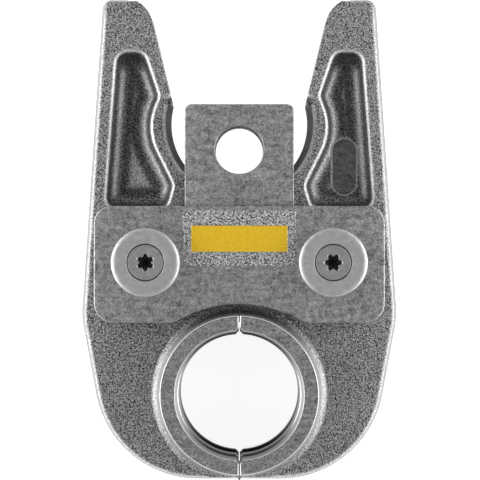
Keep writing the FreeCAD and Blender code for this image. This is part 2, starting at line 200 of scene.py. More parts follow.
def tidy_mesh(mesh):
    """Merges doubles, drops flat faces, points the faces outwards and smooths all but sharp edges."""
    bm = bmesh.new()
    bm.from_mesh(mesh)
    bmesh.ops.remove_doubles(bm, verts=bm.verts, dist=2e-6)
    bmesh.ops.dissolve_degenerate(bm, edges=bm.edges, dist=1e-6)
    bmesh.ops.recalc_face_normals(bm, faces=bm.faces)
    bm.to_mesh(mesh)
    bm.free()
    mesh.polygons.foreach_set("use_smooth", np.ones(len(mesh.polygons), dtype=bool))
    mesh.set_sharp_from_angle(angle=SHARP_ANGLE)


def joined(parts):
    """Several sets of points and faces as one."""
    points = []
    faces = []
    count = 0
    for some_points, some_faces in parts:
        points.append(some_points)
        faces += [[i + count for i in face] for face in some_faces]
        count += len(some_points)
    return np.concatenate(points), faces


def face_centres(piece, x, y):
    """Centre of each face in millimetres, measured from x, y."""
    centres = np.empty(len(piece.data.polygons) * 3)
    piece.data.polygons.foreach_get("center", centres)
    return centres.reshape(-1, 3) / MM - (x, y, 0)


def circle(x, y, radius, count):
    """Points evenly round a circle about x, y."""
    angles = np.linspace(0, 2 * math.pi, count, endpoint=False)
    return np.stack([x + radius * np.cos(angles), y + radius * np.sin(angles)], 1)


def grid_faces(rows, columns, wrap_rows=False, wrap_columns=False):
    """Quads of a rows by columns grid of points, closed round either way if asked."""
    r = np.arange(rows if wrap_rows else rows - 1)
    c = np.arange(columns if wrap_columns else columns - 1)
    r0, c0 = np.meshgrid(r, c, indexing="ij")
    r1 = (r0 + 1) % rows
    c1 = (c0 + 1) % columns
    quads = np.stack([r0 * columns + c0, r0 * columns + c1, r1 * columns + c1, r1 * columns + c0], -1)
    return quads.reshape(-1, 4).tolist()


def rounded_outline(corners, step):
    """Points about step apart along the straight sides and corner arcs of a rounded polygon.

    Each arc starts and ends at its radius over the tangent of half the corner's angle from the corner.
    """
    stretches = []
    count = len(corners)
    for i in range(count):
        corner = np.array(corners[i][:2], float)
        radius = corners[i][2]
        u = np.array(corners[i - 1][:2]) - corner
        v = np.array(corners[(i + 1) % count][:2]) - corner
        u = u / np.linalg.norm(u)
        v = v / np.linalg.norm(v)
        half = math.acos(float(np.clip(u @ v, -1, 1))) / 2
        if radius == 0:
            stretches.append(corner[None, :])
            continue
        centre = corner + (u + v) / np.linalg.norm(u + v) * radius / math.sin(half)
        start = corner + u * radius / math.tan(half) - centre
        end = corner + v * radius / math.tan(half) - centre
        begin = math.atan2(start[1], start[0])
        turn = (math.atan2(end[1], end[0]) - begin + math.pi) % (2 * math.pi) - math.pi
        angles = begin + np.linspace(0, turn, max(3, int(abs(turn) * radius / step) + 2))
        stretches.append(centre + radius * np.stack([np.cos(angles), np.sin(angles)], 1))
    points = []
    for i, stretch in enumerate(stretches):
        points.append(stretch)
        gap = stretches[(i + 1) % count][0] - stretch[-1]
        pieces = int(np.linalg.norm(gap) / step) + 1
        share = np.arange(1, pieces)[:, None] / pieces
        points.append(stretch[-1] + share * gap)
    return np.concatenate(points)


def signed_distance(x, y, outline):
    """Distance from each x, y to the closed outline, positive inside it."""
    a = outline
    b = np.roll(outline, -1, axis=0)
    d = b - a
    px = x[..., None] - a[:, 0]
    py = y[..., None] - a[:, 1]
    along = np.clip((px * d[:, 0] + py * d[:, 1]) / (d ** 2).sum(1), 0, 1)
    near = np.hypot(px - along * d[:, 0], py - along * d[:, 1]).min(-1)
    above = (a[:, 1] > y[..., None]) != (b[:, 1] > y[..., None])
    with np.errstate(divide="ignore", invalid="ignore"):
        crossing = a[:, 0] + (y[..., None] - a[:, 1]) * d[:, 0] / d[:, 1]
    inside = (above & (x[..., None] < crossing)).sum(-1) % 2 == 1
    return np.where(inside, near, -near)


def soft_min(a, b, width):
    """The smaller of two surfaces, blended over a width about their meeting line."""
    h = np.clip(0.5 + 0.5 * (b - a) / width, 0, 1)
    return b + (a - b) * h - width * h * (1 - h)


# Jaws


def jaw_outline():
    """Closed outline of one jaw's body at the parting line.

    It runs down round the mouth on an arc hidden inside the ring, down the seam, round the bottom and up the
    outer side, over the tip, down the cam side and down the seam to the ring. Where the roller relief bites
    in, points are pushed out onto its arc.
    """
    step = 0.45
    sides = rounded_outline((
        (BODY_SEAM_X, RING_Y, 0), (BODY_SEAM_X, BODY_BOTTOM, 0), (CHEEK_X, BODY_BOTTOM, CHEEK_RADIUS), HEEL,
        (TIP_OUTER_X, TIP_Y, TIP_OUTER_RADIUS), (TIP_INNER_X, TIP_Y, TIP_INNER_RADIUS), CAM_FOOT, SHOULDER,
        (BODY_SEAM_X, SEAM_TOP_Y, 0),
    ), step)
    keep = np.hypot(sides[:, 0], sides[:, 1] - RING_Y) > HIDDEN_RADIUS + 0.2
    sides = np.roll(sides, -int(np.argmax(keep & ~np.roll(keep, 1))), axis=0)
    sides = sides[: int(keep.sum())]
    reach = math.acos(BODY_SEAM_X / HIDDEN_RADIUS)
    angles = np.linspace(reach, -reach, int(2 * reach * HIDDEN_RADIUS / step))
    arc = np.stack([HIDDEN_RADIUS * np.cos(angles), RING_Y + HIDDEN_RADIUS * np.sin(angles)], 1)
    points = np.concatenate([arc, sides])
    away = points - (0, RELIEF_Y)
    distance = np.linalg.norm(away, axis=1, keepdims=True)
    bitten = distance < RELIEF_RADIUS
    return np.where(bitten, (0, RELIEF_Y) + away * RELIEF_RADIUS / distance, points)


def inward_normals(outline):
    """Unit normals that point into a counter-clockwise outline."""
    tangent = np.roll(outline, -1, axis=0) - np.roll(outline, 1, axis=0)
    tangent /= np.linalg.norm(tangent, axis=1, keepdims=True)
    return np.stack([-tangent[:, 1], tangent[:, 0]], 1)


def smoothed(values, width):
    """A running mean round a closed row of values."""
    around = np.concatenate([values[-width:], values, values[:width]])
    return np.convolve(around, np.ones(width) / width, "same")[width:-width]


def flank_and_rim():
    """Rows follow the outline, columns run from the parting line up the flank and round the rim.

    The flank moves inwards by its height times the tangent of its lean. The rim is an arc that meets the
    flank and the face, so it turns through a right angle less the lean.
    """
    outline = jaw_outline()
    normals = inward_normals(outline)
    at_seam = outline[:, 0] < BODY_SEAM_X + 0.1
    at_mouth = np.hypot(outline[:, 0], outline[:, 1] - RING_Y) < HIDDEN_RADIUS + 0.3
    in_relief = np.abs(np.hypot(outline[:, 0], outline[:, 1] - RELIEF_Y) - RELIEF_RADIUS) < 0.05
    cam_side = (outline[:, 1] > 0) & (normals[:, 0] > 0.3) & ~in_relief
    straight = at_seam | at_mouth
    lean = np.where(straight | cam_side, 0.0, math.atan(DRAFT))
    lean = smoothed(np.where(in_relief, RELIEF_LEAN, lean), 7)
    rim = np.where(in_relief, RELIEF_RIM, OUTER_RIM)
    rim = smoothed(np.where(straight | cam_side, INNER_RIM, rim), 9)
    rim = np.where(straight, SEAM_EDGE, rim)
    lean = np.where(straight, 0.0, lean)
    corner = JAW_HALF - rim
    columns = []
    heights = []
    for share in np.linspace(0, 1, 6):
        columns.append(outline + normals * (corner * share * np.tan(lean))[:, None])
        heights.append(corner * share)
    centre = corner * np.tan(lean) + rim / np.cos(lean)
    for share in np.linspace(0, 1, 8)[1:]:
        angle = lean + (math.pi / 2 - lean) * share
        columns.append(outline + normals * (centre - rim * np.cos(angle))[:, None])
        heights.append(corner + rim * np.sin(angle))
    return np.concatenate([np.stack(columns, 1), np.stack(heights, 1)[..., None]], 2)


def hollow_depth(x, y):
    """Depth of the arm's hollow below the face.

    Under the rounded rim a short steep wall runs into a bowl: its slope eases to nothing over the bowl's
    width, so the narrow upper arm ends in a trough and the wide foot in a flat floor.
    """
    outline = rounded_outline(HOLLOW, 0.5)
    inside = signed_distance(x, y, outline)
    bowl = HOLLOW_DEPTH - BOWL_RISE * np.clip(1 - inside / BOWL_WIDTH, 0, 1) ** 2
    depth = -soft_min(np.zeros_like(inside), -inside / HOLLOW_WALL, HOLLOW_RIM)
    return soft_min(depth, bowl, HOLLOW_FILLET)


def field_distance(x, y):
    """Distance inside the long field with round ends in the floor of the right arm's hollow."""
    along = np.maximum(np.abs(y - FIELD_CENTRE[1]) - FIELD_HALF_LENGTH + FIELD_RADIUS, 0)
    return FIELD_RADIUS - np.hypot(x - FIELD_CENTRE[0], along)


def face_height(x, y, with_field):
    """Height of the jaw's face, with the hollow and, on the right arm, the shallow field in its floor."""
    depth = hollow_depth(x, y)
    if with_field:
        edge = field_distance(x, y)
        share = np.clip(edge / 0.3 + 0.5, 0, 1)
        lip = FIELD_LIP * np.clip(1 - np.abs(edge + FIELD_LIP_WIDTH) / FIELD_LIP_WIDTH, 0, 1)
        depth = depth + (HOLLOW_DEPTH + FIELD_DEPTH - depth) * share - lip
    return JAW_HALF - depth


def face_stations():
    """Points spread over the hollow: rows at steps from its rim, and a fine net over its floor."""
    outline = rounded_outline(HOLLOW, 0.5)
    normals = -inward_normals(outline[::-1])[::-1]
    if signed_distance(*(outline[:1] + normals[:1]).T, outline)[0] < 0:
        normals = -normals
    rows = []
    for step in (-0.9, -0.6, -0.4, -0.2, 0.0, 0.2, 0.4, 0.6, 0.9, 1.3, 1.7, 2.1, 2.5, 2.9, 3.3):
        row = outline + normals * step
        rows.append(row[np.abs(signed_distance(*row.T, outline) - step) < 0.03])
    x, y = np.meshgrid(np.arange(17.0, 40.0, 0.5), np.arange(14.0, 63.0, 0.5))
    net = np.stack([x.ravel(), y.ravel()], 1)
    clear = (signed_distance(*net.T, outline) > 3.6) & (np.abs(field_distance(*net.T)) > 0.9)
    rows.append(net[clear])
    turn = np.linspace(0, math.pi, 33)
    for step in (-0.7, -0.5, -0.35, -0.2, 0.0, 0.15, 0.5):
        radius = FIELD_RADIUS - step
        reach = FIELD_HALF_LENGTH - FIELD_RADIUS
        end = np.stack([radius * np.cos(turn), reach + radius * np.sin(turn)], 1)
        side = np.stack([np.full(24, radius), np.linspace(reach, -reach, 26)[1:-1]], 1)
        for row in (end, -end, side, -side):
            rows.append(row + FIELD_CENTRE)
    for radius in (RELIEF_RADIUS + 2.75, RELIEF_RADIUS + 3.1):
        arc = circle(0, RELIEF_Y, radius, 360)
        arc = arc[(arc[:, 0] > 0) & (np.abs(arc[:, 1] - RELIEF_Y) < 15)]
        rows.append(arc[signed_distance(*arc.T, jaw_outline()) > 2.6])
    return np.concatenate(rows)


def hollow_wear_and_painted_light(inside, y):
    """Rubbing and painted light by the distance inside the hollow's rim, with painted shade at both ends of
    the hollow.
    """
    wear_and_painted_light = np.interp(inside, *zip(*HOLLOW_WEAR_AND_PAINTED_LIGHT))
    lowest, highest = HOLLOW_BETWEEN_SHADED_ENDS
    along = np.clip((highest - y) / 3, 0, 1) * np.clip((y - lowest) / 3, 0, 1)
    at_ends = wear_and_painted_light * along + ENDS_PAINTED_SHADE * (1 - along)
    return np.where((inside > 1.0) & (wear_and_painted_light > ENDS_PAINTED_SHADE), at_ends, wear_and_painted_light)


def relief_painted_light(wear_and_painted_light, x, y):
    """Painted light by the distance from the roller relief's upper edge, where that is near: painted shade
    on its wall and a painted highlight along its edge.
    """
    upper_edge = RELIEF_RADIUS + (JAW_HALF - RELIEF_RIM) * math.tan(RELIEF_LEAN)
    from_edge = np.hypot(x, y - RELIEF_Y) - upper_edge
    beside = (np.abs(y - RELIEF_Y) < 14.5) & (from_edge < 2)
    return np.where(beside, np.interp(from_edge, (-0.3, -0.1, 0.5, 0.8), (-1.0, 0.8, 0.8, 0.0)), wear_and_painted_light)


def outer_painted_light(wear_and_painted_light, inside, y, height):
    """Painted light on the outer side: the flank is painted lighter with its height, and a painted highlight
    swells and fades round the rim.
    """
    outside = inside < -0.9
    on_rim = (height > JAW_HALF - OUTER_RIM) & (height < JAW_HALF - 0.03) & outside
    swell = np.sin((JAW_HALF - height) / OUTER_RIM * math.pi) * np.clip((77 - y) / 6, 0, 1)
    wear_and_painted_light = np.where(on_rim, swell, wear_and_painted_light)
    on_flank = (height > 1) & (height <= JAW_HALF - OUTER_RIM) & outside
    return np.where(on_flank, 0.45 * height / JAW_HALF, wear_and_painted_light)


def ring_painted_light(wear_and_painted_light, x, y, height):
    """Painted light on the ring: its flank is painted lighter at its left and right sides as a sheen, and
    its bore is painted bright there as a highlight and dark above and below as shade, a little lighter near
    its entry.
    """
    radius = np.hypot(x, y - RING_Y)
    across = x / radius
    wear_and_painted_light = np.where(height > JAW_HALF + 0.03, 0.7 * across ** 2, wear_and_painted_light)
    polished = np.maximum(across ** 4, np.where(height > 14.5, 0.2, 0.0))
    return np.where(radius < RING_ENTRY + 0.3, polished, wear_and_painted_light)


def rub_scale_and_painted_light(points):
    """Rubbing and painted light at each point of a jaw, measured from the pivots: up to 1 for bright rubbing
    and painted highlights, and down to -1 for dark oxide and painted shade. The lip round the long field
    gets a painted highlight."""
    x, y, height = np.abs(points[:, 0]), points[:, 1], np.abs(points[:, 2])
    inside = signed_distance(x, y, rounded_outline(HOLLOW, 0.8))
    on_arm = (y > 10) & (height < JAW_HALF + 0.1) & (height > 1)
    wear_and_painted_light = np.where(on_arm, hollow_wear_and_painted_light(inside, y), 0.0)
    wear_and_painted_light = outer_painted_light(wear_and_painted_light, inside, y, height)
    wear_and_painted_light = relief_painted_light(wear_and_painted_light, x, y)
    # A painted highlight round the long field's lip.
    lip = field_distance(points[:, 0], y)
    wear_and_painted_light = np.where((points[:, 2] > 1) & (lip > -0.7) & (lip < 0.1), 0.95, wear_and_painted_light)
    return ring_painted_light(wear_and_painted_light, x, y, height)


def cut_patch(loops, stations):
    """Triangles between closed loops, the first one outside and the others holes, through the stations."""
    points = [p for loop in loops for p in loop.tolist()] + stations.tolist()
    edges = []
    first = 0
    for loop in loops:
        around = list(range(first, first + len(loop)))
        edges += list(zip(around, around[1:] + around[:1]))
        first += len(loop)
    flat, _, triangles, _, _, _ = delaunay_2d_cdt([Vector(p) for p in points], edges, [], 1, 1e-4)
    flat = np.array([tuple(p) for p in flat])
    triangles = np.array(triangles)
    middle = flat[triangles].mean(1)
    keep = np.ones(len(triangles), bool)
    for hole in loops[1:]:
        keep &= signed_distance(middle[:, 0], middle[:, 1], hole) < 0
    return flat, triangles[keep]


def ring_section():
    """Closed section of the ring as radius and height: bore contour inside, drafted flank and root
    fillet outside, the rest hidden in the body."""
    lean = math.atan(DRAFT)
    root = RING_FACE_RADIUS + (RING_HALF - JAW_HALF) * DRAFT
    reach = RING_ROOT_RADIUS * math.tan((math.pi / 2 - lean) / 2)
    angles = np.linspace(1.5 * math.pi, math.pi + lean, 9)
    fillet_r = root + reach + RING_ROOT_RADIUS * np.cos(angles)
    fillet_z = JAW_HALF + RING_ROOT_RADIUS + RING_ROOT_RADIUS * np.sin(angles)
    top = [(RING_FACE_RADIUS + RING_CHAMFER * DRAFT, RING_HALF - RING_CHAMFER)]
    top += [(RING_FACE_RADIUS - RING_CHAMFER, RING_HALF), (RING_ENTRY + RING_ENTRY_EDGE, RING_HALF)]
    top += [(RING_ENTRY, RING_HALF - RING_ENTRY_EDGE)]
    upper = [(22.0, JAW_HALF - 1.0), (root + reach, JAW_HALF - 0.02)]
    upper += list(zip(fillet_r[1:], fillet_z[1:])) + top + list(PRESS_CONTOUR)
    lower = [(r, -z) for r, z in reversed(upper)]
    return np.array(upper + lower)


def ring_points():
    """The ring's section turned from the seam above the mouth to the seam below it.

    At both seams the edge of the bore is cut back at an angle, which leaves a small notch, and the faces
    slope down to the seam in a narrow chamfer. At the bottom the root fillet ends at the body's flank.
    """
    section = ring_section()
    even = np.linspace(-1, 1, 181)
    share = 0.4 * even + 0.6 * np.sin(even * math.pi / 2)
    radius = np.broadcast_to(section[:, 0], (len(share), len(section)))
    reach = np.arccos(SEAM_X / radius)
    angle = share[:, None] * reach
    from_seam = radius * np.cos(angle) - SEAM_X
    in_bore = section[:, 0] < RING_ENTRY + 0.25
    notch = np.where(in_bore, np.clip(SEAM_NOTCH - from_seam, 0, SEAM_NOTCH), 0.0)
    x = radius * np.cos(angle)
    y = RING_Y + radius * np.sin(angle) + notch * np.sign(share)[:, None]
    lowered = np.clip(SEAM_CHAMFER - from_seam, 0, SEAM_CHAMFER)
    z = np.broadcast_to(section[:, 1], x.shape)
    z = np.clip(z, lowered - RING_HALF, RING_HALF - lowered)
    y = np.maximum(y, BODY_BOTTOM + np.abs(z) * DRAFT)
    return np.stack([x, y, z], 2)


def jaw_surface(side):
    """Points and faces of one jaw: both halves of its closed body, the wall of its pivot eye, and the
    ring half that stands on both its faces. The right jaw, side 1, has the long field on its front."""
    shell = flank_and_rim()
    hole = circle(PIVOT_X, 0, PIN_HOLE_RADIUS, 72)
    flat, triangles = cut_patch([shell[:, -1, :2], hole], face_stations())
    parts = []
    for turn in (1, -1):
        parts.append((shell.reshape(-1, 3) * (1, 1, turn), grid_faces(*shell.shape[:2], wrap_rows=True)))
        height = face_height(flat[:, 0], flat[:, 1], side > 0 and turn > 0)
        height = np.where(height > JAW_HALF - 1e-4, JAW_HALF, height)
        parts.append((np.column_stack([flat, height * turn]), triangles.tolist()))
    eye = np.stack([np.column_stack([hole, np.full(len(hole), z)]) for z in (JAW_HALF, -JAW_HALF)])
    parts.append((eye.reshape(-1, 3), grid_faces(2, len(hole), wrap_columns=True)))
    ring = ring_points()
    turns, around = ring.shape[:2]
    ring_faces = grid_faces(turns, around, wrap_columns=True)
    ring_faces.append(list(range(around)))
    ring_faces.append(list(range((turns - 1) * around, turns * around)))
    parts.append((ring.reshape(-1, 3), ring_faces))
    points, faces = joined(parts)
    return points * (side, 1, 1) + (0, PIVOT_Y, 0), faces


def jaw_finish_numbers(piece, side):
    """The finish of each face of a jaw, by the face's distance from the mouth's axis and its height."""
    centres = face_centres(piece, 0, MOUTH_Y)
    across = np.abs(centres[:, 0])
    out = np.hypot(centres[:, 0], centres[:, 1])
    height = np.abs(centres[:, 2])
    outside_entry = out > RING_ENTRY
    machined = (out < RING_FACE_RADIUS) & ((height > RING_HALF - 0.01) | (out < RING_ENTRY + 0.55))
    # The ring's chamfers get a near-white material: a painted edge highlight.
    edge = (height > RING_HALF - RING_CHAMFER) & (height < RING_HALF - 0.02) & outside_entry
    by_seam = (across < SEAM_X + SEAM_CHAMFER) & (across > SEAM_X + 0.01)
    edge |= by_seam & (height > RING_HALF - SEAM_CHAMFER) & outside_entry
    numbers = np.where(edge, RING_EDGE_PAINTED_HIGHLIGHT, np.where(machined, RING_FACE, FORGING))
    numbers[(out < RING_ENTRY - 0.05) & (height < RING_HALF - 0.1)] = BORE
    if side > 0:
        in_field = field_distance(centres[:, 0], centres[:, 1] + RING_Y) > 0
        numbers[in_field & (centres[:, 2] > 0) & (height < JAW_HALF - 1)] = STAMPED_FIELD
    return numbers.astype(np.int32)


def jaw(name, node, side, finishes):
    """One forged jaw with its finishes, and with the wear_and_painted_light attribute, rubbing and painted
    light, that the forging and bore read.
    """
    points, faces = jaw_surface(side)
    piece = mesh_piece(name, points, faces)
    for finish in finishes:
        piece.data.materials.append(finish)
    piece.data.polygons.foreach_set("material_index", jaw_finish_numbers(piece, side))
    places = np.empty(len(piece.data.vertices) * 3)
    piece.data.vertices.foreach_get("co", places)
    # The attribute holds real rubbing and oxide together with painted highlights and painted shade.
    wear_and_painted_light = piece.data.attributes.new("wear_and_painted_light", "FLOAT", "POINT")
    wear_and_painted_light.data.foreach_set("value", rub_scale_and_painted_light(places.reshape(-1, 3) / MM - (0, PIVOT_Y, 0)))
    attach(piece, node)
    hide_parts(node)


# Side plates


def plate_outline():
    """Closed outline of the plate's bar, the arch over the mouth in its lower edge.

    The arch is one arc about a centre straight below its apex. On each side a smaller arc, which touches
    it and the lower edge, blends the two.
    """
    arch_y = ARCH_APEX - ARCH_RADIUS
    blend_y = BAR_BOTTOM + ARCH_BLEND
    span = ARCH_RADIUS + ARCH_BLEND
    blend_x = math.sqrt(span ** 2 - (blend_y - arch_y) ** 2)
    lean = math.atan2(blend_x, blend_y - arch_y)
    over = np.linspace(-lean, lean, 90)
    arch = np.stack([ARCH_RADIUS * np.sin(over), arch_y + ARCH_RADIUS * np.cos(over)], 1)
    turn = np.linspace(0, lean, 9)[:-1]
    left = np.stack([-blend_x + ARCH_BLEND * np.sin(turn), blend_y - ARCH_BLEND * np.cos(turn)], 1)
    right = left[::-1] * (-1, 1)
    around = rounded_outline((
        (BAR_HALF_WIDTH, BAR_BOTTOM, BAR_BOTTOM_RADIUS), (BAR_HALF_WIDTH, BAR_TOP, BAR_TOP_RADIUS),
        (-BAR_HALF_WIDTH, BAR_TOP, BAR_TOP_RADIUS), (-BAR_HALF_WIDTH, BAR_BOTTOM, BAR_BOTTOM_RADIUS),
    ), 1.0)
    under = (np.abs(around[:, 0]) < blend_x + 0.3) & (around[:, 1] < BAR_BOTTOM + 0.01)
    around = np.roll(around, -int(np.argmax(~under & np.roll(under, 1))), axis=0)
    around = around[: int((~under).sum())]
    return np.concatenate([around, left, arch, right])


def edge_wall(outline, low, high, low_edge, high_edge):
    """Rows follow the outline, columns climb its wall from the lower face to the upper one, round both
    edges. A hole's outline runs clockwise."""
    normals = inward_normals(outline)
    columns = []
    for share in np.linspace(0, math.pi / 2, 5):
        columns.append((low_edge * (1 - math.sin(share)), low + low_edge * (1 - math.cos(share))))
    for share in np.linspace(0, math.pi / 2, 5):
        columns.append((high_edge * (1 - math.cos(share)), high - high_edge * (1 - math.sin(share))))
    rows = []
    for inwards, z in columns:
        rows.append(np.column_stack([outline + normals * inwards, np.full(len(outline), z)]))
    return np.stack(rows, 1)


def slab(outline, holes, low, high, low_edge, high_edge):
    """Points and faces of a flat plate between two heights, with rounded edges and round holes."""
    walls = [edge_wall(outline, low, high, low_edge, high_edge)]
    for hole in holes:
        walls.append(edge_wall(hole[::-1], low, high, low_edge, high_edge))
    parts = [(wall.reshape(-1, 3), grid_faces(*wall.shape[:2], wrap_rows=True)) for wall in walls]
    for column, z in ((0, low), (-1, high)):
        loops = [wall[:, column, :2] for wall in walls]
        flat, triangles = cut_patch(loops, np.empty((0, 2)))
        parts.append((np.column_stack([flat, np.full(len(flat), z)]), triangles.tolist()))
    return joined(parts)


def side_plate(name, node, turn, material):
    """One plate: the thick bar with its two pivot holes, and the neck with the locking bore."""
    pivots = [circle(side * PIVOT_X, 0, PIN_HOLE_RADIUS, 72) for side in (-1, 1)]
    bar = slab(plate_outline(), pivots, PLATE_INNER, BAR_OUTER, 0.2, PLATE_EDGE)
    neck = rounded_outline((
        (NECK_HALF_WIDTH, BAR_TOP - 0.6, 0), (NECK_HALF_WIDTH, NECK_TOP, 2.0),
        (-NECK_HALF_WIDTH, NECK_TOP, 2.0), (-NECK_HALF_WIDTH, BAR_TOP - 0.6, 0),
    ), 1.0)
    locking_bore = circle(0, -PIVOT_Y, LOCKING_BORE_RADIUS, 96)
    blade = slab(neck, [locking_bore], PLATE_INNER, NECK_OUTER, 0.2, 0.3)
    points, faces = joined([bar, blade])
    piece = mesh_piece(name, points * (1, 1, turn) + (0, PIVOT_Y, 0), faces)
    piece.data.materials.append(material)
    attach(piece, "frame")
    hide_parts(node)


# Discs and screws


def revolved(section, count):
    """Points and faces of an open section of radius and height turned round once."""
    section = np.asarray(section, float)
    angles = np.linspace(0, 2 * math.pi, count, endpoint=False)[:, None]
    x = section[:, 0] * np.cos(angles)
    y = section[:, 0] * np.sin(angles)
    z = np.broadcast_to(section[:, 1], x.shape)
    points = np.stack([x, y, z], 2).reshape(-1, 3)
    return points, grid_faces(count, len(section), wrap_rows=True)


def disc(name, node, side, turn, material):
    """Retaining disc with a soft round shoulder and a countersunk hole."""
    wide, tall = DISC_SHOULDER
    seat = BAR_OUTER + 0.01
    section = [(STEM_RADIUS + 0.3, seat), (DISC_RADIUS - 0.1, seat), (DISC_RADIUS, seat + 0.1)]
    for angle in np.linspace(0, math.pi / 2, 13):
        section.append((DISC_RADIUS - wide * (1 - math.cos(angle)), DISC_TOP - tall * (1 - math.sin(angle))))
    for angle in np.linspace(math.pi / 2, math.pi, 5):
        section.append((DISC_HOLE + 0.12 * (1 + math.cos(angle)), DISC_TOP - 0.12 * (1 - math.sin(angle))))
    section += [(DISC_HOLE, DISC_TOP - 1.0), (STEM_RADIUS + 0.3, DISC_TOP - 2.6), (STEM_RADIUS + 0.3, seat)]
    points, faces = revolved(section, 144)
    place_round(name, node, points, faces, side, turn, material)


def screw(name, node, side, turn, twist_deg, material, socket_shade_material):
    """Countersunk screw with a six-lobed socket: its contour is a mean radius with six waves round the
    turn, a little flattened, and shrinks by shares on its way down to the socket's floor."""
    count = 144
    angles = np.linspace(0, 2 * math.pi, count, endpoint=False)
    wave = np.cos(6 * (angles - math.radians(twist_deg)))
    star = STAR_MEAN + STAR_SWING * wave - 0.06 * wave ** 2
    socket = [(0.02, STAR_DEPTH + 0.9), (0.4, STAR_DEPTH + 0.3), (0.72, STAR_DEPTH)]
    socket += [(0.76, STAR_DEPTH - 0.2), (0.84, 0.55), (0.88, 0.36), (0.97, 0.07), (1.0, 0.015), (1.03, 0.0)]
    section = [(star * share, HEAD_TOP - depth) for share, depth in socket]
    section.append((HEAD_RADIUS - 0.7, HEAD_TOP))
    for angle in np.linspace(math.pi / 2, 0, 5):
        section.append((HEAD_RADIUS - 0.2 * (1 - math.cos(angle)), HEAD_TOP - 0.2 * (1 - math.sin(angle))))
    section += [(HEAD_RADIUS - 0.3, HEAD_TOP - 0.8), (STEM_RADIUS, HEAD_TOP - 2.6)]
    section += [(STEM_RADIUS, STEM_END + 0.4), (STEM_RADIUS - 0.4, STEM_END), (0.02, STEM_END)]
    rows = [np.stack([r * np.cos(angles), r * np.sin(angles), np.full(count, z)], 1) for r, z in section]
    points = np.concatenate(rows)
    faces = grid_faces(len(rows), count, wrap_columns=True)
    faces.append(list(range(count)))
    faces.append(list(range((len(rows) - 1) * count, len(rows) * count)))
    piece = place_round(name, node, points, faces, side, turn, material)
    # The socket's faces get a dark material of their own: painted shade in the recess.
    piece.data.materials.append(socket_shade_material)
    centres = face_centres(piece, side * PIVOT_X, PIVOT_Y)
    height = centres[:, 2] * turn
    in_socket = (height > HEAD_TOP - STAR_DEPTH - 1) & (height < HEAD_TOP - 0.5)
    in_socket &= np.hypot(centres[:, 0], centres[:, 1]) < STAR_MEAN * 1.1
    piece.data.polygons.foreach_set("material_index", in_socket.astype(np.int32))


def place_round(name, node, points, faces, side, turn, material):
    """Sets a round piece on one pivot, on the front or turned over to the rear."""
    piece = mesh_piece(name, points * (1, 1, turn) + (side * PIVOT_X, PIVOT_Y, 0), faces)
    piece.data.materials.append(material)
    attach(piece, "frame")
    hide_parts(node)
    return piece


# Materials


def new_material(name, roughness, base=(0.5, 0.5, 0.51), metallic=1.0):
    """A plain metal, with its shader and the object's coordinates to build a pattern on."""
    material = bpy.data.materials.new(name)
    material.use_nodes = True
    shader = material.node_tree.nodes["Principled BSDF"]
    shader.inputs["Base Color"].default_value = base + (1.0,)
    shader.inputs["Metallic"].default_value = metallic
    shader.inputs["Roughness"].default_value = roughness
    coordinates = material.node_tree.nodes.new("ShaderNodeTexCoord")
    return material, shader, coordinates.outputs["Object"]


def add_noise(material, where, size_mm, detail=2.0, roughness=0.5, stretch=None):
    """Noise with spots about size_mm across, drawn out along an axis if stretch is given."""
    nodes, links = material.node_tree.nodes, material.node_tree.links
    noise = nodes.new("ShaderNodeTexNoise")
    noise.inputs["Scale"].default_value = 1.0 / (size_mm * MM)
    noise.inputs["Detail"].default_value = detail
    noise.inputs["Roughness"].default_value = roughness
    mapping = nodes.new("ShaderNodeMapping")
    mapping.inputs["Scale"].default_value = stretch or (1.0, 1.0, 1.0)
    mapping.inputs["Rotation"].default_value = (0.0, 0.0, 0.0) if stretch else (0.5, 0.7, 0.4)
    links.new(where, mapping.inputs["Vector"])
    links.new(mapping.outputs["Vector"], noise.inputs["Vector"])
    return noise.outputs["Fac"]


def spread(material, value, low, high, out_low, out_high):
    """Maps a value between two limits onto two others, clamped."""
    node = material.node_tree.nodes.new("ShaderNodeMapRange")
    for key, number in (("From Min", low), ("From Max", high), ("To Min", out_low), ("To Max", out_high)):
        node.inputs[key].default_value = number
    material.node_tree.links.new(value, node.inputs["Value"])
    return node.outputs["Result"]


def calculate(material, operation, a, b):
    """One sum on two values, each a number or a socket, in a material or the world."""
    node = material.node_tree.nodes.new("ShaderNodeMath")
    node.operation = operation
    for socket, value in zip(node.inputs, (a, b)):
        if isinstance(value, (int, float)):
            socket.default_value = value
        else:
            material.node_tree.links.new(value, socket)
    return node.outputs["Value"]


def mix_colour(material, factor, a, b):
    """Mixes two colours, each a triple or a socket, by a factor."""
    node = material.node_tree.nodes.new("ShaderNodeMix")
    node.data_type = "RGBA"
    material.node_tree.links.new(factor, node.inputs["Factor"])
    for socket, value in zip((node.inputs[6], node.inputs[7]), (a, b)):
        if isinstance(value, tuple):
            socket.default_value = value + (1.0,)
        else:
            material.node_tree.links.new(value, socket)
    return node.outputs[2]


def bump(material, height, depth_mm, normal=None):
    """Normals that follow a height, on top of other normals if they are given."""
    node = material.node_tree.nodes.new("ShaderNodeBump")
    node.inputs["Strength"].default_value = 1.0
    node.inputs["Distance"].default_value = depth_mm * MM
    material.node_tree.links.new(height, node.inputs["Height"])
    if normal is not None:
        material.node_tree.links.new(normal, node.inputs["Normal"])
    return node.outputs["Normal"]


def wear_and_painted_light_attribute(material):
    """Rubbing and painted light of the jaw at each point, as rub_scale_and_painted_light wrote it."""
    wear_and_light = material.node_tree.nodes.new("ShaderNodeAttribute")
    wear_and_light.attribute_name = "wear_and_painted_light"
    return wear_and_light.outputs["Fac"]


